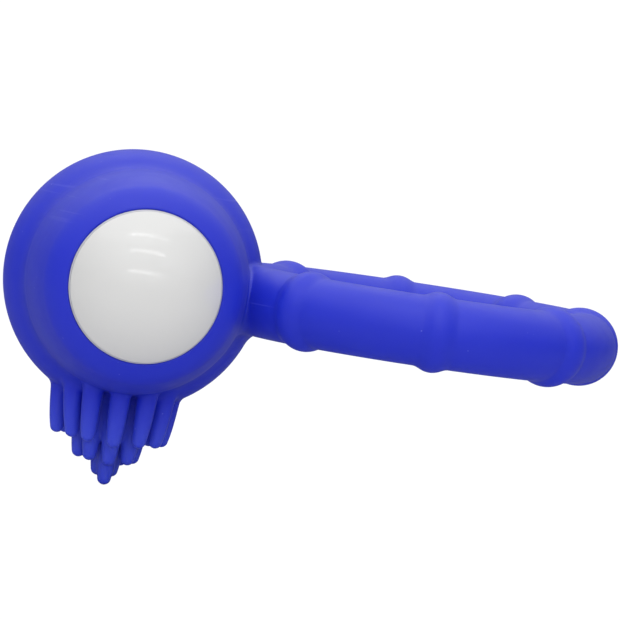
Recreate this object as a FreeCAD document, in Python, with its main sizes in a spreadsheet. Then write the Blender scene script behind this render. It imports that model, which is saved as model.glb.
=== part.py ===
import FreeCAD, Part
import math
import os
import Sketcher

# Finger brush for pets: a silicone moulding (round head, bristles and finger
# ring) that carries a vibrating capsule.  Units are millimetres.
# Origin: centre of the finger ring.  +X runs away from the head, +Z is up,
# -Y is the side that shows the capsule's closed dome.

os.makedirs("parts", exist_ok=True)
doc = FreeCAD.newDocument("finger_brush")

SIZES = {
    "on_axis": 0.0,
    # finger ring
    "ring_r": 18.7,
    "tube_r": 3.84,
    "rib_r": 4.36,
    "rib_half": 3.3,
    "finger_r": 15.0,
    # head
    "head_x": -31.625,
    "head_z": 0.26,
    "belt_arc": 6.58,
    "crease_r": 12.445,
    "crease_y": 4.58,
    "boss_r": 12.3,
    "boss_y": 4.8,
    "boss_arc": 60.0,
    "shoulder_r": 11.78,
    "shoulder_y": 12.3,
    "shoulder_arc": 4.2,
    "mouth_r": 8.7,
    "mouth_y": 16.4,
    "bore_r": 8.4,
    # bristles
    "tip_r": 0.7,
    "root_r": 1.0,
    "root_z": 10.6,
    "core_row_r": 0.85,
    "mid_row_r": 3.0,
    "rim_row_r": 5.75,
    "tip_z_centre": 22.8,
    "tip_z_back": 21.95,
    "tip_z_mid": 20.4,
    "tip_z_rim": 18.1,
    # capsule shell
    "shell_r": 8.35,
    "shell_in_r": 7.35,
    "dome_y": 16.45,
    "dome_tip_y": 20.75,
    "dome_in_tip_y": 19.65,
    "shell_end_y": 17.1,
    # motor
    "can_r": 3.5,
    "can_in_r": 3.1,
    "can_front_y": 13.6,
    "can_face": 0.4,
    "can_rear_y": 2.6,
    "magnet_r": 2.75,
    "magnet_front_y": 12.2,
    "magnet_rear_y": 4.4,
    "rotor_r": 2.4,
    "rotor_front_y": 11.8,
    "rotor_rear_y": 4.8,
    "shaft_r": 0.5,
    "shaft_hole_r": 0.55,
    "shaft_front_y": 17.5,
    "shaft_rear_y": 2.5,
    "end_cap_y": 1.7,
    "end_spigot_y": 3.2,
    "end_spigot_r": 3.05,
    "pocket_y": 2.3,
    "weight_r": 3.0,
    "weight_l": 3.5,
    "cradle_r": 7.3,
    "cradle_front_y": 11.6,
    "cradle_rear_y": 4.0,
    # circuit disc, cells and their holder
    "board_r": 7.05,
    "board_front_y": 1.2,
    "board_rear_y": 0.4,
    "spring_hub_r": 1.2,
    "spring_rim_r": 4.6,
    "spring_t": 0.3,
    "cage_r": 7.3,
    "cage_in_r": 5.95,
    "cage_end_y": 12.2,
    "cell_r": 5.8,
    "cell_can_r": 5.2,
    "cell_step": 0.6,
    "cell_h": 5.4,
    "cell_y0": 3.0,
    # screw cap
    "plug_r": 7.3,
    "plug_in_r": 6.15,
    "plug_y": 12.6,
    "cap_y": 17.1,
    "cap_side_y": 20.6,
    "cap_top_y": 23.8,
    "cap_top_r": 5.6,
    "cap_arc": 3.4,
    "cap_roof_y": 22.6,
    "groove_a_y": 15.2,
    "groove_b_y": 16.1,
    "groove_r": 6.6,
    "seal_y": 15.65,
    "seal_ring_r": 6.98,
    "seal_r": 0.35,
    # contact, switch and button
    "contact_r": 6.0,
    "contact_y": 19.2,
    "contact_h": 0.4,
    "switch_board_h": 0.8,
    "switch_y": 20.4,
    "switch_w": 4.4,
    "switch_h": 0.8,
    "plunger_r": 1.0,
    "plunger_hole_r": 1.05,
    "plunger_y": 21.05,
    "button_r": 3.93,
    "button_hole_r": 4.0,
    "flange_r": 4.9,
    "flange_y": 22.0,
    "button_edge_y": 24.0,
    "button_top_y": 24.3,
}

sheet = doc.addObject("Spreadsheet::Sheet", "Sizes")
for row, (alias, number) in enumerate(SIZES.items(), start=1):
    sheet.set(f"A{row}", alias)
    sheet.set(f"B{row}", str(number))
    sheet.setAlias(f"B{row}", alias)
doc.recompute()


def value(words):
    """Sum of sheet sizes written as 'a + b - c'."""
    total = 0.0
    sign = 1.0
    for word in words.split():
        if word in "+-":
            sign = 1.0 if word == "+" else -1.0
        else:
            total += sign * SIZES[word]
    return total


def formula(words):
    """The same sum as an expression that reads the sheet."""
    return " ".join(word if word in "+-" else "Sizes." + word for word in words.split())


def bind(obj, **sizes):
    for prop, words in sizes.items():
        obj.setExpression(prop, formula(words))


def place(obj, x="", y="", z=""):
    for axis, words in (("x", x), ("y", y), ("z", z)):
        if words:
            obj.setExpression(f"Placement.Base.{axis}", words)


def at_head(obj):
    place(obj, x="Sizes.head_x", z="Sizes.head_z")


def arc_through(start, end, radius):
    """Circular arc between two points, bulging to the left of start-to-end for radius < 0."""
    a = FreeCAD.Vector(*start)
    b = FreeCAD.Vector(*end)
    chord = b - a
    rise = math.sqrt(radius * radius - chord.Length * chord.Length / 4.0)
    normal = FreeCAD.Vector(-chord.y, chord.x, 0).normalize()
    side = 1.0 if radius > 0 else -1.0
    centre = (a + b) * 0.5 + normal * (side * rise)
    crown = centre - normal * (side * abs(radius))
    return Part.Arc(a, crown, b)


def dome_size(start, end):
    """Radius of an arc centred on the axis that joins a point to a crown on the axis."""
    reach = max(start[0], end[0])
    rise = abs(start[1] - end[1])
    return (reach * reach + rise * rise) / (2.0 * rise)


def closed_profile(sketch, points):
    """Closed outline: points are (x, y) or (x, y, arc size, bulge side) to the next point.

    An arc of size 'dome' ends on the axis and has its centre there.
    """
    count = len(points)
    flat = [(value(p[0]), value(p[1]), 0.0) for p in points]
    ends = []
    for i, point in enumerate(points):
        after = flat[(i + 1) % count]
        if len(point) == 2:
            index = sketch.addGeometry(Part.LineSegment(FreeCAD.Vector(*flat[i]), FreeCAD.Vector(*after)))
            ends.append((index, 1, 2))
            continue
        domed = point[2] == "dome"
        radius = dome_size(flat[i], after) if domed else value(point[2])
        arc = arc_through(flat[i], after, radius * point[3])
        index = sketch.addGeometry(arc)
        start = sketch.getPoint(index, 1)
        first = start.distanceToPoint(FreeCAD.Vector(*flat[i])) < 1e-6
        ends.append((index, 1, 2) if first else (index, 2, 1))
        if domed:
            sketch.addConstraint(Sketcher.Constraint("PointOnObject", index, 3, -2))
            continue
        size = sketch.addConstraint(Sketcher.Constraint("Radius", index, radius))
        sketch.setExpression(f"Constraints[{size}]", formula(point[2]))
    for i, point in enumerate(points):
        before = ends[i - 1]
        here = ends[i]
        sketch.addConstraint(Sketcher.Constraint("Coincident", before[0], before[2], here[0], here[1]))
        for kind, words in (("DistanceX", point[0]), ("DistanceY", point[1])):
            number = value(words)
            if abs(number) < 1e-9:
                on_axis = -2 if kind == "DistanceX" else -1
                sketch.addConstraint(Sketcher.Constraint("PointOnObject", here[0], here[1], on_axis))
                continue
            size = sketch.addConstraint(Sketcher.Constraint(kind, -1, 1, here[0], here[1], number))
            sketch.setExpression(f"Constraints[{size}]", formula(words))


def turned(name, points):
    """Solid of revolution about the capsule's axis, from (radius, y) points."""
    body = doc.addObject("PartDesign::Body", name)
    plane = [feature for feature in body.Origin.OriginFeatures if feature.Role == "XY_Plane"][0]
    sketch = body.newObject("Sketcher::SketchObject", name + "_profile")
    sketch.AttachmentSupport = [(plane, "")]
    sketch.MapMode = "FlatFace"
    closed_profile(sketch, points)
    solid = body.newObject("PartDesign::Revolution", name + "_turn")
    solid.Profile = sketch
    solid.ReferenceAxis = (sketch, ["V_Axis"])
    solid.Angle = 360.0
    body.Tip = solid
    at_head(body)
    return body


def joined(kind, name, shapes):
    """Boolean of document objects: Part::MultiFuse, or Part::Cut of a base and a tool."""
    result = doc.addObject(kind, name)
    if kind == "Part::Cut":
        result.Base, result.Tool = shapes
    else:
        result.Shapes = shapes
    return result


# ---------------------------------------------------------------- silicone
head_blank = turned(
    "head_blank",
    [
        ("on_axis", "- mouth_y"),
        ("mouth_r", "- mouth_y", "shoulder_arc", 1),
        ("shoulder_r", "- shoulder_y", "boss_arc", 1),
        ("boss_r", "- boss_y"),
        ("crease_r", "- crease_y", "belt_arc", 1),
        ("crease_r", "crease_y"),
        ("boss_r", "boss_y", "boss_arc", 1),
        ("shoulder_r", "shoulder_y", "shoulder_arc", 1),
        ("mouth_r", "mouth_y"),
        ("on_axis", "mouth_y"),
    ],
)

head_bore = doc.addObject("Part::Cylinder", "head_bore")
bind(head_bore, Radius="bore_r", Height="mouth_y + mouth_y + tip_r")
head_bore.Placement.Rotation = FreeCAD.Rotation(FreeCAD.Vector(1, 0, 0), -90)
place(head_bore, x="Sizes.head_x", y="-Sizes.mouth_y - Sizes.tip_r / 2", z="Sizes.head_z")
head_sleeve = joined("Part::Cut", "head_sleeve", [head_blank, head_bore])

tube = doc.addObject("Part::Torus", "ring_tube")
bind(tube, Radius1="ring_r", Radius2="tube_r")
ring_pieces = [tube]
for step in range(-3, 4):
    angle = 45 * step
    rib = doc.addObject("Part::Ellipsoid", "ring_rib")
    rib.Angle1 = -90
    rib.Angle2 = 90
    bind(rib, Radius1="rib_half", Radius2="rib_r", Radius3="rib_r")
    turn_up = FreeCAD.Rotation(FreeCAD.Vector(1, 0, 0), 90)
    turn_round = FreeCAD.Rotation(FreeCAD.Vector(0, 0, 1), angle)
    rib.Placement.Rotation = turn_round.multiply(turn_up)
    place(rib, x=f"Sizes.ring_r * cos({angle})", y=f"Sizes.ring_r * sin({angle})")
    ring_pieces.append(rib)
ring_full = joined("Part::MultiFuse", "ring_full", ring_pieces)
finger_way = doc.addObject("Part::Cylinder", "finger_way")
bind(finger_way, Radius="finger_r", Height="ring_r")
place(finger_way, z="-Sizes.ring_r / 2")
ring_open = joined("Part::Cut", "ring_open", [ring_full, finger_way])
finger_ring = joined("Part::Cut", "finger_ring", [ring_open, head_blank])


def bristle(row_r, tip_z, angle):
    """One tapered, round-ended bristle whose root lies inside the head."""
    stem = doc.addObject("Part::Cone", "bristle_stem")
    tip = doc.addObject("Part::Sphere", "bristle_tip")
    bind(stem, Radius1="tip_r", Radius2="root_r", Height=f"{tip_z} - tip_r - root_z")
    bind(tip, Radius="tip_r")
    for piece in (stem, tip):
        place(
            piece,
            x=f"Sizes.head_x + Sizes.{row_r} * cos({angle})",
            y=f"Sizes.{row_r} * sin({angle})",
            z=f"Sizes.head_z - Sizes.{tip_z} + Sizes.tip_r",
        )
    return [stem, tip]


def bristle_row(name, row_r, front_tip_z, tip_z, count):
    """A ring of bristles; the one at the very front has its own length."""
    pieces = bristle(row_r, front_tip_z, -90)
    for k in range(1, count):
        pieces += bristle(row_r, tip_z, -90 + 360 * k / count)
    grown = joined("Part::MultiFuse", name + "_grown", pieces)
    return joined("Part::Cut", name, [grown, head_blank])


bristles_core = bristle_row("bristles_core", "core_row_r", "tip_z_centre", "tip_z_back", 3)
bristles_mid = bristle_row("bristles_mid", "mid_row_r", "tip_z_mid", "tip_z_mid", 8)
bristles_rim = bristle_row("bristles_rim", "rim_row_r", "tip_z_rim", "tip_z_rim", 12)

# ----------------------------------------------------------- capsule shell
capsule_shell = turned(
    "capsule_shell",
    [
        ("on_axis", "- dome_tip_y", "dome", 1),
        ("shell_r", "- dome_y"),
        ("shell_r", "shell_end_y"),
        ("shell_in_r", "shell_end_y"),
        ("shell_in_r", "- dome_y", "dome", -1),
        ("on_axis", "- dome_in_tip_y"),
    ],
)

# ------------------------------------------------------------------- motor
motor_can = turned(
    "motor_can",
    [
        ("shaft_hole_r", "- can_front_y"),
        ("can_r", "- can_front_y"),
        ("can_r", "- can_rear_y"),
        ("can_in_r", "- can_rear_y"),
        ("can_in_r", "can_face - can_front_y"),
        ("shaft_hole_r", "can_face - can_front_y"),
    ],
)
motor_magnet = turned(
    "motor_magnet",
    [
        ("magnet_r", "- magnet_front_y"),
        ("can_in_r", "- magnet_front_y"),
        ("can_in_r", "- magnet_rear_y"),
        ("magnet_r", "- magnet_rear_y"),
    ],
)
motor_end_cap = turned(
    "motor_end_cap",
    [
        ("shaft_hole_r", "- end_spigot_y"),
        ("end_spigot_r", "- end_spigot_y"),
        ("end_spigot_r", "- can_rear_y"),
        ("can_r", "- can_rear_y"),
        ("can_r", "- end_cap_y"),
        ("on_axis", "- end_cap_y"),
        ("on_axis", "- pocket_y"),
        ("shaft_hole_r", "- pocket_y"),
    ],
)
motor_shaft = turned(
    "motor_shaft",
    [
        ("on_axis", "- shaft_front_y"),
        ("shaft_r", "- shaft_front_y"),
        ("shaft_r", "- shaft_rear_y"),
        ("on_axis", "- shaft_rear_y"),
    ],
)
motor_winding = turned(
    "motor_winding",
    [
        ("shaft_r", "- rotor_front_y"),
        ("rotor_r", "- rotor_front_y"),
        ("rotor_r", "- rotor_rear_y"),
        ("shaft_r", "- rotor_rear_y"),
    ],
)
motor_cradle = turned(
    "motor_cradle",
    [
        ("can_r", "- cradle_front_y"),
        ("cradle_r", "- cradle_front_y"),
        ("cradle_r", "- cradle_rear_y"),
        ("can_r", "- cradle_rear_y"),
    ],
)

# Half a disc on the shaft's front end; its heavy side hangs down at rest.
half_disc = doc.addObject("Part::Cylinder", "half_disc")
half_disc.Angle = 180
bind(half_disc, Radius="weight_r", Height="weight_l")
weight_hub = doc.addObject("Part::Cylinder", "weight_hub")
bind(weight_hub, Radius="shaft_r + shaft_r + shaft_r", Height="weight_l")
shaft_way = doc.addObject("Part::Cylinder", "shaft_way")
bind(shaft_way, Radius="shaft_r", Height="weight_l")
for piece in (half_disc, weight_hub, shaft_way):
    piece.Placement.Rotation = FreeCAD.Rotation(FreeCAD.Vector(1, 0, 0), -90)
    place(piece, x="Sizes.head_x", y="-Sizes.shaft_front_y", z="Sizes.head_z")
weight_blank = joined("Part::MultiFuse", "weight_blank", [half_disc, weight_hub])
eccentric_weight = joined("Part::Cut", "eccentric_weight", [weight_blank, shaft_way])

# --------------------------------------------------- circuit disc and cells
circuit_disc = turned(
    "circuit_disc",
    [
        ("on_axis", "- board_front_y"),
        ("board_r", "- board_front_y"),
        ("board_r", "- board_rear_y"),
        ("on_axis", "- board_rear_y"),
    ],
)
spring_contact = turned(
    "spring_contact",
    [
        ("spring_rim_r", "- board_rear_y"),
        ("spring_rim_r + spring_t", "- board_rear_y"),
        ("spring_hub_r + spring_t", "cell_y0"),
        ("spring_hub_r", "cell_y0"),
    ],
)
battery_cage = turned(
    "battery_cage",
    [
        ("cage_in_r", "- board_rear_y"),
        ("cage_r", "- board_rear_y"),
        ("cage_r", "cage_end_y"),
        ("cage_in_r", "cage_end_y"),
    ],
)
cells = []
start = "cell_y0"
for name in ("cell_front", "cell_middle", "cell_rear"):
    cell = turned(
        name,
        [
            ("on_axis", start),
            ("cell_can_r", start),
            ("cell_can_r", start + " + cell_step"),
            ("cell_r", start + " + cell_step"),
            ("cell_r", start + " + cell_h"),
            ("on_axis", start + " + cell_h"),
        ],
    )
    cells.append(cell)
    start += " + cell_h"

# ------------------------------------------------- screw cap, switch, button
battery_cap = turned(
    "battery_cap",
    [
        ("plug_in_r", "plug_y"),
        ("plug_r", "plug_y"),
        ("plug_r", "groove_a_y"),
        ("groove_r", "groove_a_y"),
        ("groove_r", "groove_b_y"),
        ("plug_r", "groove_b_y"),
        ("plug_r", "cap_y"),
        ("shell_r", "cap_y"),
        ("shell_r", "cap_side_y", "cap_arc", 1),
        ("cap_top_r", "cap_top_y"),
        ("button_hole_r", "cap_top_y"),
        ("button_hole_r", "cap_roof_y"),
        ("plug_in_r", "cap_roof_y"),
    ],
)
cap_o_ring = doc.addObject("Part::Torus", "cap_o_ring")
bind(cap_o_ring, Radius1="seal_ring_r", Radius2="seal_r")
cap_o_ring.Placement.Rotation = FreeCAD.Rotation(FreeCAD.Vector(1, 0, 0), -90)
place(cap_o_ring, x="Sizes.head_x", y="Sizes.seal_y", z="Sizes.head_z")

positive_contact = turned(
    "positive_contact",
    [
        ("on_axis", "contact_y"),
        ("contact_r", "contact_y"),
        ("contact_r", "contact_y + contact_h"),
        ("on_axis", "contact_y + contact_h"),
    ],
)
switch_board = turned(
    "switch_board",
    [
        ("on_axis", "contact_y + contact_h"),
        ("contact_r", "contact_y + contact_h"),
        ("contact_r", "contact_y + contact_h + switch_board_h"),
        ("on_axis", "contact_y + contact_h + switch_board_h"),
    ],
)
switch_block = doc.addObject("Part::Box", "switch_block")
bind(switch_block, Length="switch_w", Width="switch_h", Height="switch_w")
place(
    switch_block,
    x="Sizes.head_x - Sizes.switch_w / 2",
    y="Sizes.switch_y",
    z="Sizes.head_z - Sizes.switch_w / 2",
)
plunger_way = doc.addObject("Part::Cylinder", "plunger_way")
bind(plunger_way, Radius="plunger_hole_r", Height="switch_h")
plunger_way.Placement.Rotation = FreeCAD.Rotation(FreeCAD.Vector(1, 0, 0), -90)
place(plunger_way, x="Sizes.head_x", y="Sizes.switch_y", z="Sizes.head_z")
switch_body = joined("Part::Cut", "switch_body", [switch_block, plunger_way])
switch_plunger = turned(
    "switch_plunger",
    [
        ("on_axis", "plunger_y"),
        ("plunger_r", "plunger_y"),
        ("plunger_r", "flange_y"),
        ("on_axis", "flange_y"),
    ],
)
button = turned(
    "button",
    [
        ("on_axis", "flange_y"),
        ("flange_r", "flange_y"),
        ("flange_r", "cap_roof_y"),
        ("button_r", "cap_roof_y"),
        ("button_r", "button_edge_y", "dome", 1),
        ("on_axis", "button_top_y"),
    ],
)

NODES = [
    head_sleeve,
    finger_ring,
    bristles_core,
    bristles_mid,
    bristles_rim,
    capsule_shell,
    motor_can,
    motor_magnet,
    motor_end_cap,
    motor_shaft,
    motor_winding,
    motor_cradle,
    eccentric_weight,
    circuit_disc,
    spring_contact,
    battery_cage,
    *cells,
    battery_cap,
    cap_o_ring,
    positive_contact,
    switch_board,
    switch_body,
    switch_plunger,
    button,
]

doc.recompute()
for obj in doc.Objects:
    if "Invalid" in obj.State or "Error" in obj.State:
        raise RuntimeError(f"{obj.Name} did not compute: {obj.State}")
for node in NODES:
    node.Label = node.Name
    shape = node.Shape
    if shape.isNull() or not shape.isValid() or shape.Volume <= 0:
        raise RuntimeError(f"{node.Name} has no valid solid")
    shape.exportStep(f"parts/{node.Name}.step")
    box = shape.optimalBoundingBox()
    print(f"{node.Name}: {len(shape.Solids)} solid(s), {shape.Volume:.1f} mm3, y {box.YMin:.2f} to {box.YMax:.2f}")
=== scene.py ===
import math

import bpy
import numpy as np
import openvdb
from mathutils import Matrix, Vector


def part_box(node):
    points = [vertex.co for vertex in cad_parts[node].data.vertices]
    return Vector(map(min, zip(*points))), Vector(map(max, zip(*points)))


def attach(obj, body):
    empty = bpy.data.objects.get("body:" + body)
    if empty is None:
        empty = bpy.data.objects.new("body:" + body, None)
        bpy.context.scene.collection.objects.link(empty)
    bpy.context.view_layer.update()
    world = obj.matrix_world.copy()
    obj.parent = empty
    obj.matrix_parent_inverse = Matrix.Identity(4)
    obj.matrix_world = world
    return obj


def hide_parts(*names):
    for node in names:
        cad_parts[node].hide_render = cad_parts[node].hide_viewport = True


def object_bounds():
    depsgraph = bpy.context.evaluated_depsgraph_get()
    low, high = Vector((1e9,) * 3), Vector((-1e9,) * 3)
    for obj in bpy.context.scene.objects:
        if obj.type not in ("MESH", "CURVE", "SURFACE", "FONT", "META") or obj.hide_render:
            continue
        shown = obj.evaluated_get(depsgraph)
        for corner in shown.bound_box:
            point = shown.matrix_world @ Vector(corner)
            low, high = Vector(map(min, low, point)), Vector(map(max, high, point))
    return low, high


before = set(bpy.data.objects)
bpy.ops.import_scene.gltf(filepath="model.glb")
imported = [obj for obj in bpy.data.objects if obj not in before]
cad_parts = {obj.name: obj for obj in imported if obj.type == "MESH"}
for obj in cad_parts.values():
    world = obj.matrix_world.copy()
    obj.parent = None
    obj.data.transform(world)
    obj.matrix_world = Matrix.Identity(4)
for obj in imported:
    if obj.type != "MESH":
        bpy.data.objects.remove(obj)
cad_low, cad_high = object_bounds()
MM = 0.001
ON_AXIS = 1e-6  # a radius in mm below this counts as the axis itself


# ------------------------------------------------------------------ helpers
def centre_of(node):
    low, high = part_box(node)
    return (low + high) / 2


def mesh_object(name, points, faces, body, replaces, material):
    mesh = bpy.data.meshes.new(name)
    mesh.from_pydata(points, [], faces)
    mesh.validate()
    mesh.polygons.foreach_set("use_smooth", [True] * len(mesh.polygons))
    piece = bpy.data.objects.new(name, mesh)
    bpy.context.scene.collection.objects.link(piece)
    piece.data.materials.append(material)
    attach(piece, body)
    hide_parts(*replaces)


# --------------------------------------------------------------- node trees
class Nodes:
    """Short way to add and join the nodes of one tree."""

    def __init__(self, tree):
        self.tree = tree

    def feed(self, socket, source):
        """Link the socket to another node's output, or set its value."""
        if isinstance(source, bpy.types.NodeSocket):
            self.tree.links.new(source, socket)
        else:
            socket.default_value = source

    def add(self, kind, inputs=None, **settings):
        node = self.tree.nodes.new(kind)
        for key, setting in settings.items():
            setattr(node, key, setting)
        for key, source in (inputs or {}).items():
            self.feed(node.inputs[key], source)
        return node

    def math(self, operation, a, b=0.0):
        return self.add("ShaderNodeMath", {0: a, 1: b}, operation=operation).outputs[0]

    def fade(self, source, low, high, start=0.0, end=1.0, **settings):
        """Go from start to end as the source goes from low to high, and hold beyond them."""
        node = self.add(
            "ShaderNodeMapRange",
            {"Value": source, "From Min": low, "From Max": high, "To Min": start, "To Max": end},
            **settings,
        )
        return node.outputs["Result"]


class Look(Nodes):
    """One material on a Principled shader."""

    def __init__(self, name):
        self.material = bpy.data.materials.new(name)
        self.material.use_nodes = True
        super().__init__(self.material.node_tree)
        self.shader = self.tree.nodes["Principled BSDF"]
        self.place = self.add("ShaderNodeTexCoord").outputs["Object"]

    def noise(self, scale, detail=3.0, roughness=0.5):
        node = self.add(
            "ShaderNodeTexNoise",
            {"Vector": self.place, "Scale": scale, "Detail": detail, "Roughness": roughness},
        )
        return node.outputs["Fac"]

    def ramp(self, source, stops):
        node = self.add("ShaderNodeValToRGB", {"Fac": source})
        elements = node.color_ramp.elements
        while len(elements) < len(stops):
            elements.new(0.5)
        for element, (position, colour) in zip(elements, stops):
            element.position = position
            element.color = colour
        return node.outputs["Color"]

    def mix(self, factor, a, b):
        return self.add("ShaderNodeMix", {0: factor, 6: a, 7: b}, data_type="RGBA").outputs[2]

    def bump(self, height, distance, strength, normal=None):
        inputs = {"Height": height, "Distance": distance, "Strength": strength}
        if normal is not None:
            inputs["Normal"] = normal
        return self.add("ShaderNodeBump", inputs).outputs["Normal"]

    def shade(self, **sockets):
        for key, source in sockets.items():
            self.feed(self.shader.inputs[key.replace("_", " ")], source)
        return self.material


# ---------------------------------------------------------------- materials
def rgb(r, g, b):
    return (r, g, b, 1.0)


def grey(v):
    return (v, v, v, 1.0)


# Where the silicone's marks and its painted light lie, in metres in the row frame: (start, end) of
# each fade. The first fade paints the bristles lighter down towards their tips: painted light on
# the tips, with painted shade at the roots under the head.
BRISTLE_PAINTED_LIGHT_Z = (-0.0125, -0.0172)
SCUFF_Z = (0.0050, 0.0065)
SEAM_HALF_WIDTH = (0.00003, 0.00009)
NECK_X = (-0.0200, -0.0140)


def silicone_material():
    """Satin blue silicone with faint mould texture, a parting line, handling marks and dust, and
    bristles painted lighter towards their tips as painted light.
    """
    n = Look("blue_silicone")
    clouds = n.noise(scale=90, detail=2.0)
    tone = n.mix(clouds, rgb(0.009, 0.021, 0.50), rgb(0.012, 0.026, 0.55))
    parts = n.add("ShaderNodeSeparateXYZ", {0: n.place}).outputs
    # Painted light: the bristles turn lighter and paler from the roots down to the tips. This
    # stands in for the light on the tips and the head's shade over the roots.
    painted_tip_light = n.fade(parts["Z"], *BRISTLE_PAINTED_LIGHT_Z)
    tone = n.mix(painted_tip_light, tone, rgb(0.041, 0.068, 0.62))
    dust = n.add(
        "ShaderNodeTexVoronoi", {"Vector": n.place, "Scale": 900, "Randomness": 1.0}, feature="F1"
    )
    specks = n.ramp(dust.outputs["Distance"], [(0.0, grey(1.0)), (0.10, grey(0.0))])
    rare = n.ramp(n.noise(scale=260, detail=1.0), [(0.57, grey(0.0)), (0.62, grey(1.0))])
    dusting = n.math("MULTIPLY", n.math("MULTIPLY", specks, rare), 0.45)
    tone = n.mix(dusting, tone, rgb(0.30, 0.34, 0.80))
    slanted = n.add(
        "ShaderNodeMapping",
        {"Vector": n.place, "Rotation": (0.0, 0.6, 0.0), "Scale": (120.0, 60.0, 2200.0)},
    )
    streaks = n.add(
        "ShaderNodeTexNoise", {"Vector": slanted.outputs[0], "Scale": 1.0, "Detail": 1.0}
    )
    scuffs = n.ramp(streaks.outputs["Fac"], [(0.68, grey(0.0)), (0.74, grey(1.0))])
    scuffs = n.math("MULTIPLY", scuffs, n.fade(parts["Z"], *SCUFF_Z))
    tone = n.mix(n.math("MULTIPLY", scuffs, 0.10), tone, rgb(0.25, 0.28, 0.80))
    seam = n.fade(n.math("ABSOLUTE", parts["Z"]), *SEAM_HALF_WIDTH, start=1.0, end=0.0)
    at_neck = n.ramp(
        n.fade(parts["X"], *NECK_X),
        [(0.0, grey(0.0)), (0.1, grey(1.0)), (0.32, grey(1.0)), (0.48, grey(0.0))],
    )
    seam = n.math("MULTIPLY", seam, at_neck)
    tone = n.mix(n.math("MULTIPLY", seam, 0.22), tone, rgb(0.14, 0.17, 0.80))
    peel = n.noise(scale=1500, detail=2.0, roughness=0.55)
    waves = n.noise(scale=160, detail=1.0)
    bumps = n.bump(peel, distance=0.00001, strength=0.35)
    bumps = n.bump(waves, distance=0.00006, strength=0.25, normal=bumps)
    bumps = n.bump(seam, distance=0.00003, strength=0.4, normal=bumps)
    patches = n.noise(scale=220, detail=4.0, roughness=0.6)
    return n.shade(
        Base_Color=tone,
        Roughness=n.ramp(patches, [(0.3, grey(0.41)), (0.7, grey(0.51))]),
        IOR=1.43,
        Subsurface_Weight=0.45,
        Subsurface_Radius=(0.3, 0.4, 1.0),
        Subsurface_Scale=0.0016,
        Sheen_Weight=0.03,
        Sheen_Roughness=0.45,
        Sheen_Tint=rgb(0.75, 0.78, 1.0),
        Normal=bumps,
    )


def gloss_white_material():
    """Polished white plastic with the slightest moulding ripple."""
    n = Look("gloss_white_plastic")
    clouds = n.noise(scale=120, detail=2.0)
    tone = n.mix(clouds, rgb(0.61, 0.61, 0.605), rgb(0.635, 0.635, 0.63))
    patches = n.noise(scale=700)
    return n.shade(
        Base_Color=tone,
        Roughness=n.ramp(patches, [(0.3, grey(0.10)), (0.75, grey(0.16))]),
        IOR=1.52,
        Subsurface_Weight=0.1,
        Subsurface_Radius=(1.0, 1.0, 1.0),
        Subsurface_Scale=0.0006,
        Normal=n.bump(n.noise(scale=140, detail=1.0), distance=0.00002, strength=0.3),
    )


def plastic_material(name, low, high, roughness):
    """Moulded plastic or rubber with a fine grain."""
    n = Look(name)
    patches = n.noise(scale=500)
    smoother = grey(roughness - 0.02)
    rougher = grey(roughness + 0.03)
    return n.shade(
        Base_Color=n.mix(n.noise(scale=300), rgb(*low), rgb(*high)),
        Roughness=n.ramp(patches, [(0.3, smoother), (0.7, rougher)]),
        Normal=n.bump(n.noise(scale=2500, detail=2.0), distance=0.000006, strength=0.6),
    )


def metal_material(name, low, high, roughness, stretch=(1.0, 1.0, 1.0)):
    """Drawn or plated metal: the brushing runs across the stretched axis."""
    n = Look(name)
    drawn = n.add("ShaderNodeMapping", {"Vector": n.place, "Scale": stretch}).outputs["Vector"]
    lines = n.add(
        "ShaderNodeTexNoise", {"Vector": drawn, "Scale": 1500, "Detail": 3.0}
    ).outputs["Fac"]
    smoother = grey(roughness - 0.06)
    rougher = grey(roughness + 0.08)
    return n.shade(
        Base_Color=n.mix(lines, rgb(*low), rgb(*high)),
        Roughness=n.ramp(lines, [(0.3, smoother), (0.7, rougher)]),
        Metallic=1.0,
        Normal=n.bump(lines, distance=0.000004, strength=0.5),
    )


def copper_material():
    """Enamelled wire laid round the motor's axis."""
    n = Look("copper_winding")
    wire = n.add(
        "ShaderNodeTexWave",
        {"Vector": n.place, "Scale": 1400, "Distortion": 0.4, "Detail": 1.0},
        bands_direction="Y",
    ).outputs["Fac"]
    return n.shade(
        Base_Color=n.mix(wire, rgb(0.30, 0.09, 0.03), rgb(0.80, 0.33, 0.14)),
        Roughness=0.32,
        Metallic=1.0,
        Normal=n.bump(wire, distance=0.00003, strength=0.8),
    )


def board_material():
    """Green solder mask over faint tracks."""
    n = Look("circuit_board")
    tracks = n.add(
        "ShaderNodeTexBrick",
        {"Vector": n.place, "Scale": 320, "Mortar Size": 0.03},
    ).outputs["Fac"]
    return n.shade(
        Base_Color=n.mix(tracks, rgb(0.010, 0.105, 0.035), rgb(0.035, 0.20, 0.07)),
        Roughness=0.35,
        Coat_Weight=0.4,
        Normal=n.bump(tracks, distance=0.00002, strength=0.5),
    )


silicone = silicone_material()
gloss_white = gloss_white_material()
copper = copper_material()
board = board_material()
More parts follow.
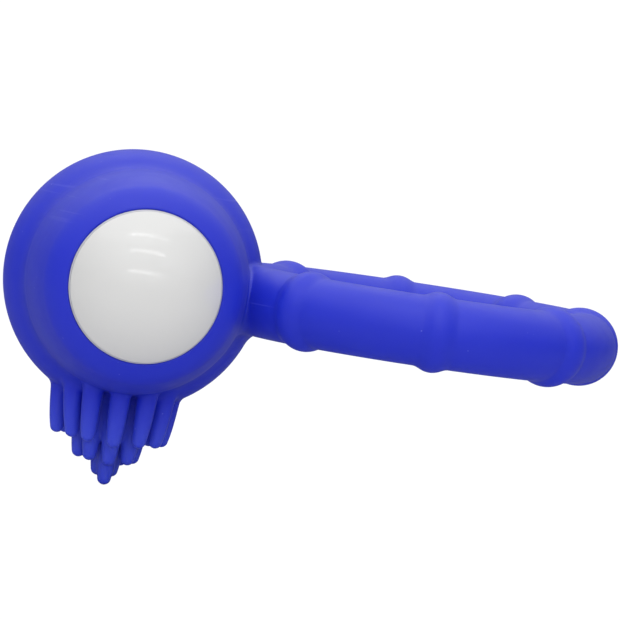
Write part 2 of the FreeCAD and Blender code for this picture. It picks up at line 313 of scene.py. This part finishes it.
# Arguments: name, darker and lighter colour, roughness and, for metals, stretch of the brushing.
cap_white = plastic_material("cap_white_plastic", (0.78, 0.78, 0.77), (0.81, 0.81, 0.80), 0.24)
button_grey = plastic_material("button_grey_plastic", (0.55, 0.56, 0.58), (0.60, 0.61, 0.63), 0.3)
inner_plastic = plastic_material("inner_plastic", (0.66, 0.65, 0.60), (0.72, 0.71, 0.66), 0.5)
black_plastic = plastic_material("switch_plastic", (0.018, 0.018, 0.02), (0.03, 0.03, 0.033), 0.45)
seal_rubber = plastic_material("seal_rubber", (0.012, 0.012, 0.012), (0.02, 0.02, 0.02), 0.55)
motor_steel = metal_material(
    "motor_steel", (0.50, 0.50, 0.52), (0.66, 0.66, 0.68), 0.28, (1, 12, 1)
)
shaft_steel = metal_material(
    "shaft_steel", (0.58, 0.58, 0.60), (0.74, 0.74, 0.76), 0.18, (1, 10, 1)
)
weight_metal = metal_material("weight_metal", (0.26, 0.25, 0.24), (0.40, 0.39, 0.37), 0.42)
magnet_dark = metal_material("magnet_ferrite", (0.05, 0.05, 0.055), (0.09, 0.09, 0.095), 0.5)
contact_metal = metal_material(
    "contact_strip", (0.66, 0.60, 0.48), (0.80, 0.75, 0.62), 0.25, (8, 1, 1)
)
cell_steel = metal_material("cell_can", (0.58, 0.58, 0.59), (0.74, 0.74, 0.75), 0.2, (1, 9, 1))

CAD_LOOKS = {
    "motor_can": motor_steel,
    "motor_magnet": magnet_dark,
    "motor_end_cap": inner_plastic,
    "motor_shaft": shaft_steel,
    "motor_winding": copper,
    "motor_cradle": inner_plastic,
    "eccentric_weight": weight_metal,
    "circuit_disc": board,
    "spring_contact": contact_metal,
    "battery_cage": inner_plastic,
    "cell_front": cell_steel,
    "cell_middle": cell_steel,
    "cell_rear": cell_steel,
    "cap_o_ring": seal_rubber,
    "positive_contact": contact_metal,
    "switch_board": board,
    "switch_body": black_plastic,
    "switch_plunger": black_plastic,
}
for node, look in CAD_LOOKS.items():
    for material_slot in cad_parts[node].material_slots:
        material_slot.material = look


# ----------------------------------------------- silicone moulding, as a field
# Millimetres, in the row frame. Below zero is inside the silicone.
head = centre_of("head_sleeve") / MM
head_low, head_high = (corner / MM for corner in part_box("head_sleeve"))
ring_low, ring_high = (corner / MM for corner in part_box("finger_ring"))
shell_low, shell_high = (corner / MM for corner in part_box("capsule_shell"))

BELT_R = (head_high.z - head_low.z) / 2
BELT_ARC = 6.58
SIDE_R = 12.3  # widest radius of the head's tapering side, found at SIDE_Y from its middle
SIDE_Y = 4.5
SIDE_ARC = 28.0
MOUTH_Y = (head_high.y - head_low.y) / 2
FACE_Y = MOUTH_Y + 0.26
FACE_SLOPE = 0.05
SHOULDER_ARC = 2.9
CREASE_BLEND = 0.8
LIP_BLEND = 0.12
CAPSULE_R = (shell_high.x - shell_low.x) / 2
SHELL_R = CAPSULE_R - 0.09  # the drawn shell and cap are this much slimmer than the solids
BORE_R = SHELL_R + 0.01

RIB_R = (ring_high.z - ring_low.z) / 2
TUBE_R = RIB_R - 0.52
RING_R = ring_high.x - RIB_R
RIB_HALF_LENGTH = 3.25
RIB_PITCH = math.pi / 4
RIBS_EACH_WAY = 3  # on either side of the middle rib; the head takes the eighth place
RIB_TURN = math.radians(-1.1)
RIB_BLEND = 0.28
INNER_WALL_R = RING_R - TUBE_R + 0.12
INNER_WALL_BLEND = 0.6

NECK_BLEND = 0.55
NECK_BLEND_BELOW = 0.8  # added to it towards NECK_DEPTH below the ring's mid-plane
NECK_DEPTH = 3.0

# Rows of (count, reach, front tip, other tips, rise towards the sides, inward lean in
# degrees); tips are measured up from the lowest one. Then the bristles that stand a
# little out of line: (count, index) to sideways and downward shift of the tip.
ROWS = (
    (3, 0.86, 0.0, 0.88, 0.0, 0.5),
    (8, 2.95, 2.30, 2.34, 0.28, 2.0),
    (12, 5.60, 4.53, 4.62, 0.28, 4.5),
)
OUT_OF_LINE = {
    (8, 3): (-0.40, 0.45),
    (8, 6): (-0.20, 0.0),
    (8, 2): (-0.15, 0.0),
    (12, 3): (0.07, 0.0),
    (12, 9): (-0.28, -0.05),
    (12, 10): (0.46, 0.0),
    (12, 8): (0.12, 0.0),
    (12, 4): (-0.30, 0.25),
    (12, 2): (-0.10, 0.0),
}
TIP_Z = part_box("bristles_core")[0].z / MM
ROOT_Z = head.z - 10.6
ROOT_SHARE = 0.35  # part of a tip's sideways shift that its root takes
TIP_CENTRE = 0.74  # height of a tip's round end above its lowest point
TIP_R = 0.75
SWELL = 0.25  # growth from the tip's radius, most of it within SWELL_LENGTH
SWELL_LENGTH = 1.4
TAPER = 0.02
WEB_LOW_Z = head.z - 17.5  # the webs between bristles widen from here up
WEB_RISE = 5.0
WEB_AT_TIP = 0.75
WEB_GROWTH = 0.55
ROOT_BLEND = 0.5
CLUSTER_R = 9.5  # every bristle and its blend lie within this radius and below CLUSTER_Z
CLUSTER_Z = head.z - 8.0
FAR = 1e3


def soft_min(a, b, k):
    """Smaller of two fields, blended where they differ by less than k."""
    h = np.clip(0.5 + 0.5 * (b - a) / k, 0.0, 1.0)
    return b + (a - b) * h - k * h * (1.0 - h)


def soft_max(a, b, k):
    return -soft_min(-a, -b, k)


def round_max(a, b, radius):
    """Overlap of two solids with its edge rounded to the radius."""
    outer = np.hypot(np.maximum(a + radius, 0.0), np.maximum(b + radius, 0.0))
    return np.minimum(np.maximum(a, b), -radius) + outer


def head_field(x, y, z):
    r = np.hypot(x - head.x, z - head.z)
    a = np.abs(y)
    belt = np.hypot(r - (BELT_R - BELT_ARC), a) - BELT_ARC
    side = np.hypot(r + (SIDE_ARC - SIDE_R), a - SIDE_Y) - SIDE_ARC
    face = a - FACE_Y + FACE_SLOPE * np.maximum(r - CAPSULE_R, 0.0)
    boss = round_max(side, face, SHOULDER_ARC)
    outside = soft_min(belt, boss, CREASE_BLEND)
    return soft_max(outside, BORE_R - r, LIP_BLEND)


def ring_field(x, y, z):
    reach = np.hypot(x, y)
    tube = np.hypot(reach - RING_R, z) - TUBE_R
    turn = np.arctan2(y, x) - RIB_TURN
    turn -= np.clip(np.round(turn / RIB_PITCH), -RIBS_EACH_WAY, RIBS_EACH_WAY) * RIB_PITCH
    across_sq = (reach * np.cos(turn) - RING_R) ** 2 + z**2
    along = reach * np.sin(turn)
    rib = (np.sqrt(across_sq / RIB_R**2 + (along / RIB_HALF_LENGTH) ** 2) - 1.0) * RIB_R
    both = soft_min(tube, rib, RIB_BLEND)
    return soft_max(both, INNER_WALL_R - reach, INNER_WALL_BLEND)


def bristle_list():
    """Tip and root of every bristle."""
    made = []
    for count, reach, front, others, rise, lean in ROWS:
        for k in range(count):
            turn = -math.pi / 2 + 2 * math.pi * k / count
            out_x, out_y = math.cos(turn), math.sin(turn)
            sideways, down = OUT_OF_LINE.get((count, k), (0.0, 0.0))
            tip_z = TIP_Z + (others if k else front) + rise * abs(out_x) - down
            root_reach = reach + (ROOT_Z - tip_z) * math.tan(math.radians(lean))
            root_x = head.x + root_reach * out_x + ROOT_SHARE * sideways
            tip = (head.x + reach * out_x + sideways, reach * out_y, tip_z)
            root = (root_x, root_reach * out_y, ROOT_Z)
            made.append((np.array(tip), np.array(root)))
    return made


BRISTLES = bristle_list()


def bristle_field(x, y, z):
    """Round-ended bristles that swell from a slim tip to full thickness."""
    nearest = np.full(x.shape, FAR, dtype=x.dtype)
    web = WEB_AT_TIP + WEB_GROWTH * np.clip((z - WEB_LOW_Z) / WEB_RISE, 0.0, 1.0)
    for tip, root in BRISTLES:
        line = root - tip
        length = math.sqrt(line @ line)
        line = line / length
        px, py, pz = x - tip[0], y - tip[1], z - tip[2]
        up_stem = np.clip(px * line[0] + py * line[1] + pz * line[2], TIP_CENTRE, length)
        gap = np.sqrt(
            (px - up_stem * line[0]) ** 2
            + (py - up_stem * line[1]) ** 2
            + (pz - up_stem * line[2]) ** 2
        )
        grown = 1.0 - np.exp(-(up_stem - TIP_CENTRE) / SWELL_LENGTH)
        thick = TIP_R + SWELL * grown + TAPER * up_stem
        nearest = soft_min(nearest, gap - thick, web)
    return nearest


def field(x, y, z):
    neck = NECK_BLEND + NECK_BLEND_BELOW * np.clip(-z / NECK_DEPTH, 0.0, 1.0)
    body = soft_min(head_field(x, y, z), ring_field(x, y, z), neck)
    out = np.maximum(body, BORE_R - np.hypot(x - head.x, z - head.z))
    near = (np.hypot(x - head.x, y) < CLUSTER_R) & (z < CLUSTER_Z)
    if near.any():
        out[near] = soft_min(out[near], bristle_field(x[near], y[near], z[near]), ROOT_BLEND)
    return out


GRID_STEP = 0.22
MARGIN = 4 * GRID_STEP
BAND = 3.0 * GRID_STEP  # the grid keeps distances up to this far from the surface
SETTLE_ROUNDS = 4
SETTLE_LIMIT = 0.3 * GRID_STEP
PROBE = 0.01
LEAST_SLOPE_SQ = 0.05


def silicone_mesh():
    """Surface of the field: a grid's polygons, then settled onto the exact zero level."""
    low = np.array([head_low.x, ring_low.y, TIP_Z]) - MARGIN
    high = np.array([ring_high.x, ring_high.y, head_high.z]) + MARGIN
    axes = [np.arange(a, b, GRID_STEP, dtype=np.float32) for a, b in zip(low, high)]
    grid = np.empty([len(axis) for axis in axes], dtype=np.float32)
    for i, x in enumerate(axes[0]):
        yy, zz = np.meshgrid(axes[1], axes[2], indexing="ij")
        grid[i] = field(np.full_like(yy, x), yy, zz)
    volume = openvdb.FloatGrid(BAND)
    volume.copyFromArray(np.clip(grid, -BAND, BAND))
    points, _, quads = volume.convertToPolygons(0.0, 0.0)
    points = points.astype(np.float64) * GRID_STEP + low
    for _ in range(SETTLE_ROUNDS):
        value = field(*points.T)
        slope = np.empty_like(points)
        for axis in range(3):
            ahead, behind = points.copy(), points.copy()
            ahead[:, axis] += PROBE
            behind[:, axis] -= PROBE
            slope[:, axis] = (field(*ahead.T) - field(*behind.T)) / (2 * PROBE)
        steep = np.maximum((slope**2).sum(1), LEAST_SLOPE_SQ)
        move = np.clip(value / steep, -SETTLE_LIMIT, SETTLE_LIMIT)
        points -= slope * move[:, None]
    return points, quads[:, ::-1]


points, quads = silicone_mesh()
mesh_object(
    "silicone_moulding",
    (points * MM).tolist(),
    quads.tolist(),
    "silicone",
    ["head_sleeve", "finger_ring", "bristles_core", "bristles_mid", "bristles_rim"],
    silicone,
)


# ------------------------------------------------ turned parts of the capsule
# Profiles are lists of (radius, y) in millimetres round the capsule's axis.
def arc(start, end, centre, steps):
    """Points from start round centre, through the angle that end lies at."""
    a = math.atan2(start[1] - centre[1], start[0] - centre[0])
    b = math.atan2(end[1] - centre[1], end[0] - centre[0])
    size = math.hypot(start[0] - centre[0], start[1] - centre[1])
    turns = [a + (b - a) * k / steps for k in range(steps + 1)]
    return [(centre[0] + size * math.cos(t), centre[1] + size * math.sin(t)) for t in turns]


def dome_arc(tip_y, edge_r, edge_y, steps):
    """Part of a circle centred on the axis, from the dome's tip to its edge."""
    rise = edge_y - tip_y
    size = (edge_r * edge_r + rise * rise) / (2 * rise)
    return arc((0.0, tip_y), (edge_r, edge_y), (0.0, tip_y + size), steps)


def rounded_corner(before, corner, after, size, steps=6):
    """Quadratic curve that rounds one corner of a profile."""
    corner_v = Vector(corner)
    a = corner_v + (Vector(before) - corner_v).normalized() * size
    b = corner_v + (Vector(after) - corner_v).normalized() * size
    made = []
    for k in range(steps + 1):
        t = k / steps
        made.append(tuple(a * (1 - t) ** 2 + corner_v * 2 * t * (1 - t) + b * t**2))
    return made


HOLD = 1.3  # points this many corner sizes away keep the flats beside a corner flat


def outline(corners):
    """Closed profile with every corner rounded, from (radius, y, corner size)."""
    made = []
    count = len(corners)
    for i, (r, y, size) in enumerate(corners):
        if r < ON_AXIS or size == 0:
            made.append((r, y))
            continue
        here = Vector((r, y))
        before = Vector(corners[i - 1][:2])
        after = Vector(corners[(i + 1) % count][:2])
        made.append(tuple(here + (before - here).normalized() * size * HOLD))
        made += rounded_corner(before, (r, y), after, size)
        made.append(tuple(here + (after - here).normalized() * size * HOLD))
    return made


def lathe(profile, segments=192, shape=None):
    """Closed surface of revolution; shape may change the radius by (radius, y, angle)."""
    rings = []
    points = []
    for r, y in profile:
        if r < ON_AXIS:
            points.append((head.x, y, head.z))
            rings.append([len(points) - 1])
            continue
        ring = []
        for k in range(segments):
            turn = 2 * math.pi * k / segments
            size = shape(r, y, turn) if shape else r
            points.append((head.x + size * math.cos(turn), y, head.z + size * math.sin(turn)))
            ring.append(len(points) - 1)
        rings.append(ring)
    faces = []
    count = len(rings)
    for i in range(count):
        a, b = rings[i], rings[(i + 1) % count]
        if len(a) == 1 and len(b) == 1:
            continue
        for k in range(segments):
            after = (k + 1) % segments
            if len(a) == 1:
                faces.append((a[0], b[after], b[k]))
            elif len(b) == 1:
                faces.append((a[k], a[after], b[0]))
            else:
                faces.append((a[k], a[after], b[after], b[k]))
    return [tuple(c * MM for c in p) for p in points], faces


INNER_R = CAPSULE_R - 1.0
DOME_Y = -(MOUTH_Y + 0.05)
DOME_WALL = 1.1
SHELL_END_Y = shell_high.y
outer_dome = dome_arc(shell_low.y, SHELL_R, DOME_Y, steps=64)
inner_dome = dome_arc(shell_low.y + DOME_WALL, INNER_R, DOME_Y, steps=40)
dome_edge = rounded_corner(outer_dome[-3], (SHELL_R, DOME_Y), (SHELL_R, 0.0), size=0.22)
outer_rim = rounded_corner(
    (SHELL_R, 0.0), (SHELL_R, SHELL_END_Y), (0.0, SHELL_END_Y), size=0.15, steps=4
)
inner_rim = rounded_corner(
    (SHELL_R, SHELL_END_Y), (INNER_R, SHELL_END_Y), (INNER_R, 0.0), size=0.12, steps=4
)
shell_profile = [
    *outer_dome[:-1],
    *dome_edge,
    *((SHELL_R, y) for y in np.linspace(DOME_Y + 1.3, SHELL_END_Y - 0.5, 16)),
    *outer_rim,
    *inner_rim,
    *((INNER_R, y) for y in np.linspace(SHELL_END_Y - 0.8, DOME_Y + 1.3, 12)),
    *inner_dome[::-1],
]
points, faces = lathe(shell_profile)
mesh_object(
    "capsule_shell_polished",
    points,
    faces,
    "capsule",
    ["capsule_shell"],
    gloss_white,
)

FLUTES = 20
FLUTE_DEPTH = 0.22
FLUTE_SHARPNESS = 1.5
FLUTE_LOW_Y = SHELL_END_Y + 0.5
FLUTE_HIGH_Y = SHELL_END_Y + 3.9
FLUTE_FADE = 0.5
CAP_SIDE_BAND = 0.35  # only radii this close to the cap's side are fluted


def grip_flutes(r, y, turn):
    """Shallow lengthwise flutes round the side of the screw cap."""
    if r < SHELL_R - CAP_SIDE_BAND or not FLUTE_LOW_Y < y < FLUTE_HIGH_Y:
        return r
    ends = min(1.0, (y - FLUTE_LOW_Y) / FLUTE_FADE, (FLUTE_HIGH_Y - y) / FLUTE_FADE)
    return r - FLUTE_DEPTH * ends * max(0.0, math.cos(FLUTES * turn)) ** FLUTE_SHARPNESS


PLUG_R = 7.3
PLUG_IN_R = 6.15
GROOVE_R = 6.6
GROOVE_LOW_Y = SHELL_END_Y - 1.9
GROOVE_HIGH_Y = SHELL_END_Y - 1.0
BUTTON_HOLE_R = 4.0
cap_low, cap_high = (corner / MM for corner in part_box("battery_cap"))
cap_roof_y = cap_high.y - 1.2
cap_round = arc(
    (SHELL_R, SHELL_END_Y + 3.5), (5.61, cap_high.y), (5.06, SHELL_END_Y + 3.45), steps=14
)
cap_corners = [
    (PLUG_IN_R, cap_low.y, 0.1),
    (PLUG_R, cap_low.y, 0.15),
    (PLUG_R, GROOVE_LOW_Y, 0.05),
    (GROOVE_R, GROOVE_LOW_Y, 0.1),
    (GROOVE_R, GROOVE_HIGH_Y, 0.1),
    (PLUG_R, GROOVE_HIGH_Y, 0.05),
    (PLUG_R, SHELL_END_Y, 0.05),
    (SHELL_R, SHELL_END_Y, 0.15),
    *((SHELL_R, y, 0) for y in np.linspace(SHELL_END_Y + 0.4, SHELL_END_Y + 3.4, 13)),
    *((r, y, 0) for r, y in cap_round),
    (5.2, cap_high.y, 0),
    (BUTTON_HOLE_R, cap_high.y, 0.18),
    (BUTTON_HOLE_R, cap_roof_y, 0.05),
    (PLUG_IN_R, cap_roof_y, 0.1),
]
points, faces = lathe(outline(cap_corners), segments=320, shape=grip_flutes)
mesh_object("battery_cap_fluted", points, faces, "cap", ["battery_cap"], cap_white)

FLANGE_R = 4.9
FLANGE = 0.6
BUTTON_R = 3.93
DISH = 0.006  # fall of the button's top per square millimetre of radius
button_low, button_high = (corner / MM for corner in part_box("button"))
flange_y = button_low.y + FLANGE
top = button_high.y
button_corners = [
    (0.0, button_low.y, 0),
    (FLANGE_R, button_low.y, 0.08),
    (FLANGE_R, flange_y, 0.08),
    (BUTTON_R, flange_y, 0.05),
    (BUTTON_R, top - 0.3, 0.28),
    (3.2, top - 0.06, 0),
    (2.9, top - 0.03, 0.1),
    (2.7, top - 0.16, 0.1),
    (2.5, top - 0.02, 0.1),
    *((r, top - DISH * r * r, 0) for r in (2.0, 1.5, 1.0, 0.5)),
    (0.0, top, 0),
]
points, faces = lathe(outline(button_corners), segments=160)
mesh_object("button_dished", points, faces, "push_button", ["button"], button_grey)

# ---------------------------------------------------------- stage and camera
# The camera looks along the capsule's axis from a little to one side and above, rolled about
# its line of sight. The distances are in millimetres, from the head's centre to the camera.
VIEW_YAW = math.radians(7.28)
VIEW_RISE = math.radians(2.28)
VIEW_ROLL = math.radians(8.59)
CAMERA_BACK = 549.43
CAMERA_RIGHT = 19.48
CAMERA_DOWN = 3.40
ahead = Vector((
    math.sin(VIEW_YAW) * math.cos(VIEW_RISE),
    math.cos(VIEW_YAW) * math.cos(VIEW_RISE),
    -math.sin(VIEW_RISE),
))
level = Vector((math.cos(VIEW_YAW), -math.sin(VIEW_YAW), 0.0))
upright = level.cross(ahead)
right = math.cos(VIEW_ROLL) * level + math.sin(VIEW_ROLL) * upright
up = -math.sin(VIEW_ROLL) * level + math.cos(VIEW_ROLL) * upright
camera_data = bpy.data.cameras.new("camera")
camera_data.sensor_width = 36.0
camera_data.lens = 290.0
camera_data.clip_start = 0.01
camera_data.clip_end = 20.0
camera = bpy.data.objects.new("camera", camera_data)
bpy.context.scene.collection.objects.link(camera)
camera_place = (head - CAMERA_BACK * ahead + CAMERA_RIGHT * right - CAMERA_DOWN * up) * MM
facing = Matrix((right, up, -ahead)).transposed().to_4x4()
camera.matrix_world = Matrix.Translation(camera_place) @ facing
bpy.context.scene.camera = camera

FLOOR_Z = cad_low.z - 0.0002
FLOOR_HALF = 6.0
FLOOR_CORNERS = [
    (side_x * FLOOR_HALF, side_y * FLOOR_HALF, FLOOR_Z)
    for side_x, side_y in ((-1, -1), (1, -1), (1, 1), (-1, 1))
]
floor_mesh = bpy.data.meshes.new("floor")
floor_mesh.from_pydata(FLOOR_CORNERS, [], [(0, 1, 2, 3)])
floor = bpy.data.objects.new("floor", floor_mesh)
bpy.context.scene.collection.objects.link(floor)

# The floor shows as near white, lights the object as pale grey and mirrors as a darker grey.
floor_look = bpy.data.materials.new("pale_floor")
floor_look.use_nodes = True
n = Nodes(floor_look.node_tree)
n.tree.nodes.remove(n.tree.nodes["Principled BSDF"])
ray = n.add("ShaderNodeLightPath").outputs
tone = n.fade(ray["Is Glossy Ray"], 0.0, 1.0, start=0.76, end=0.20)
bounce = n.add("ShaderNodeBsdfDiffuse", {"Color": tone})
paper = n.add("ShaderNodeBsdfDiffuse", {"Color": grey(0.06)})
glow = n.add("ShaderNodeEmission", {"Strength": 0.985})
seen = n.add("ShaderNodeAddShader", {0: paper.outputs[0], 1: glow.outputs[0]})
either = n.add(
    "ShaderNodeMixShader", {0: ray["Is Camera Ray"], 1: bounce.outputs[0], 2: seen.outputs[0]}
)
n.feed(n.tree.nodes["Material Output"].inputs["Surface"], either.outputs[0])
floor.data.materials.append(floor_look)

# The sky lights the object by the sum of three smooth ramps, each as (axis, where it ends,
# strength at zero, strength at its end). The camera sees plain white instead.
SKY_RAMPS = (("Z", 0.75, 0.14, 1.00), ("Y", -1.0, 0.0, 0.30), ("X", 1.0, 0.0, -0.12))
world = bpy.data.worlds.new("studio")
bpy.context.scene.world = world
world.use_nodes = True
n = Nodes(world.node_tree)
background = n.tree.nodes["Background"]
background.inputs["Color"].default_value = grey(1.0)
white = n.add("ShaderNodeBackground", {"Color": grey(1.0), "Strength": 1.1})
way = n.add("ShaderNodeTexCoord").outputs["Generated"]
parts = n.add("ShaderNodeSeparateXYZ", {0: way}).outputs
terms = [
    n.fade(parts[axis], 0.0, far_end, start=at_zero, end=at_end, interpolation_type="SMOOTHSTEP")
    for axis, far_end, at_zero, at_end in SKY_RAMPS
]
strength = terms[0]
for term in terms[1:]:
    strength = n.math("ADD", strength, term)
n.feed(background.inputs["Strength"], strength)
ray = n.add("ShaderNodeLightPath").outputs
either = n.add(
    "ShaderNodeMixShader", {0: ray["Is Camera Ray"], 1: background.outputs[0], 2: white.outputs[0]}
)
n.feed(n.tree.nodes["World Output"].inputs["Surface"], either.outputs[0])


def softbox(name, place, aim, width, height, power, mirrored=True, scattered=True):
    data = bpy.data.lights.new(name, "AREA")
    data.shape = "RECTANGLE"
    data.size = width
    data.size_y = height
    data.energy = power
    light = bpy.data.objects.new(name, data)
    bpy.context.scene.collection.objects.link(light)
    light.location = place
    light.rotation_mode = "QUATERNION"
    light.rotation_quaternion = (Vector(aim) - Vector(place)).to_track_quat("-Z", "Y")
    light.visible_glossy = mirrored
    light.visible_diffuse = scattered


softbox("overhead", (-0.10, 0.07, 0.64), aim=(-0.02, 0, 0), width=1.10, height=0.85, power=1.8)
softbox(
    "low_front",
    (-0.06, -0.85, 0.17),
    aim=(-0.03, 0, -0.01),
    width=0.90,
    height=0.16,
    power=2.5,
    mirrored=False,
)
# Three narrow lamps are only mirrored: they give the dome its streaks and add no plain light.
STRIP_CLIMBS = (17, 43, 65)
STRIP_DISTANCE = 0.8
for degrees in STRIP_CLIMBS:
    climb = math.radians(degrees)
    softbox(
        "strip",
        (-0.06, -STRIP_DISTANCE * math.cos(climb), STRIP_DISTANCE * math.sin(climb)),
        aim=(-0.03, 0, 0),
        width=0.60,
        height=0.022,
        power=0.30,
        scattered=False,
    )

bpy.context.scene.view_settings.view_transform = "Standard"
bpy.context.scene.view_settings.look = "None"
